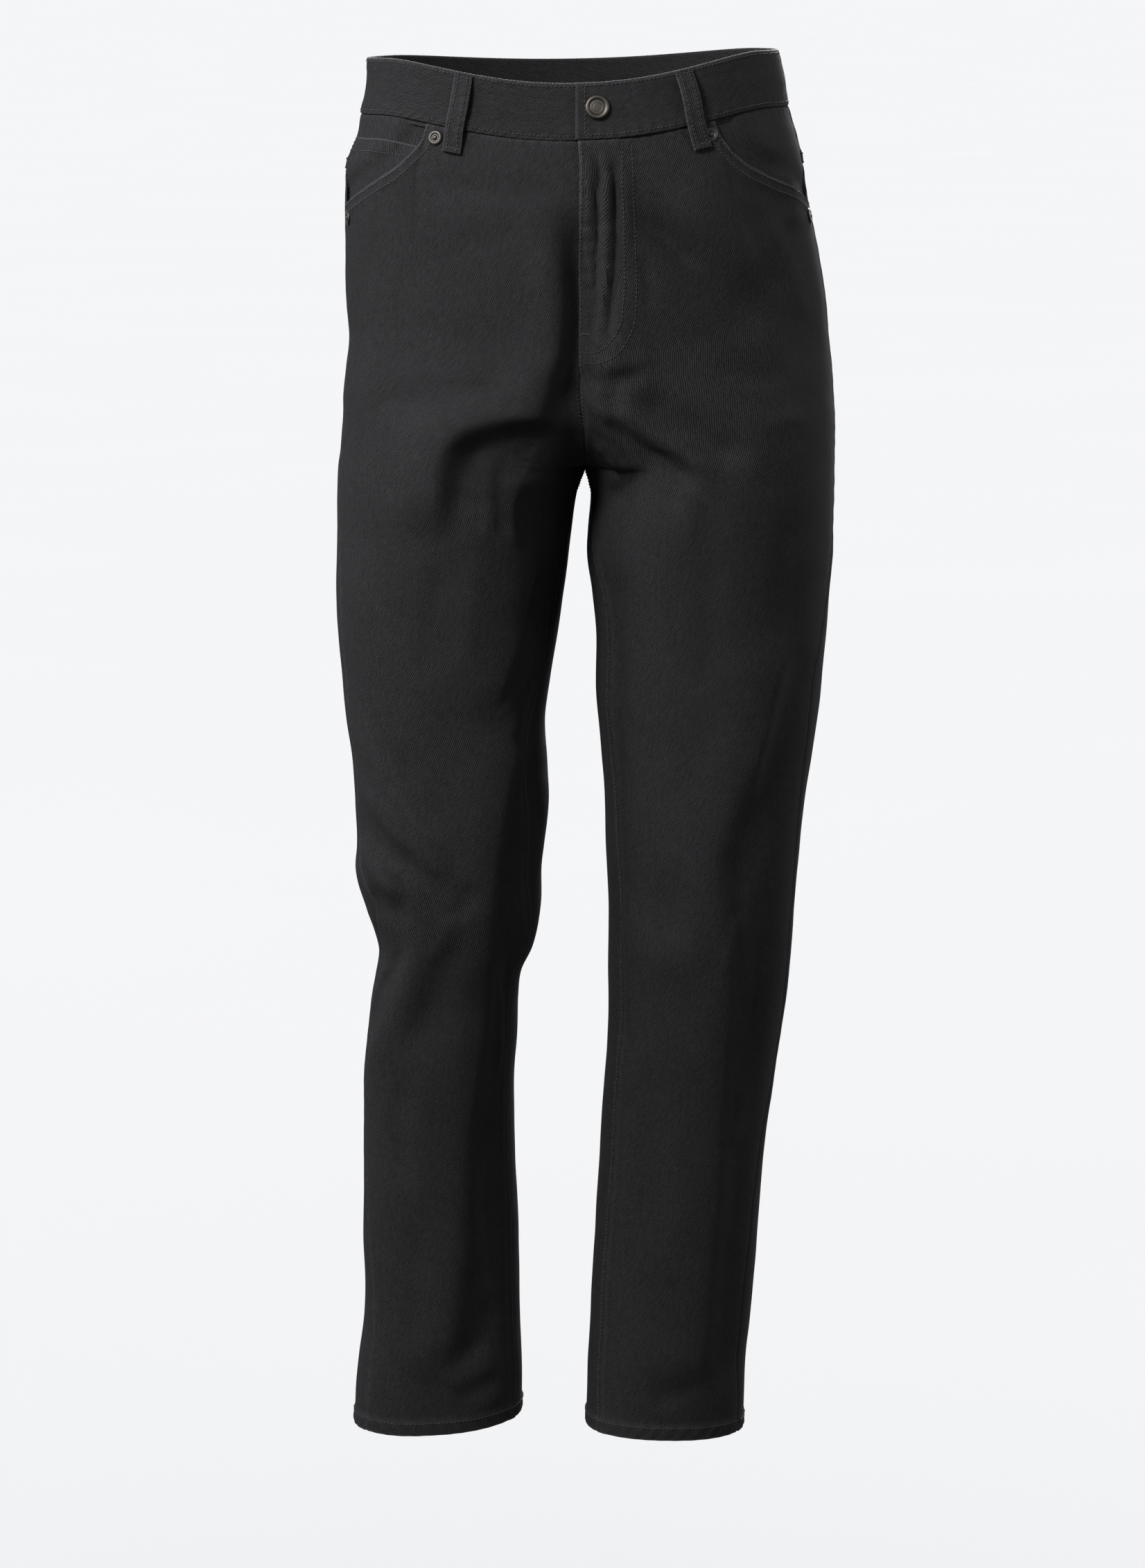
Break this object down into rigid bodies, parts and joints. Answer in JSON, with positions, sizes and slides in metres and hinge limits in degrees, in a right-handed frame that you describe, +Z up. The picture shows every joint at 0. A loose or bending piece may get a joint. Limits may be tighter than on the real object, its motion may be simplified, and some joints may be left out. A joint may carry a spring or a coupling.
{
  "type": "pair of jeans",
  "caption": "Black high-waisted mom jeans with a zip fly, curved front pockets and patch back pockets, hollow and shaped as worn, with straight legs that taper to the ankle.",
  "frame": {"origin": "centre of the waist, half way up the waistband, on the plane of the fly", "axes": "+Z up to the waist's opening, -Y out of the front, +X towards the wearer's left"},
  "size_m": [0.3596, 0.2437, 1.0169],
  "materials": {
    "denim": "black twill denim",
    "tape": "woven tape",
    "dark_metal": "dark gunmetal, satin"
  },
  "bodies": {
    "root": {"front_right": "denim", "front_left": "denim", "back_right": "denim", "back_left": "denim", "yoke_right": "denim", "yoke_left": "denim", "waistband": "denim", "belt_loop_front_left": "denim", "belt_loop_back_left": "denim", "belt_loop_back": "denim", "belt_loop_back_right": "denim", "belt_loop_front_right": "denim", "pocket_facing_right": "denim", "pocket_facing_left": "denim", "coin_pocket": "denim", "back_pocket_right": "denim", "back_pocket_left": "denim", "zip_tape": "tape", "button": "dark_metal", "rivet_upper_right": "dark_metal", "rivet_lower_right": "dark_metal", "rivet_upper_left": "dark_metal", "rivet_lower_left": "dark_metal"}
  },
  "joints": []
}
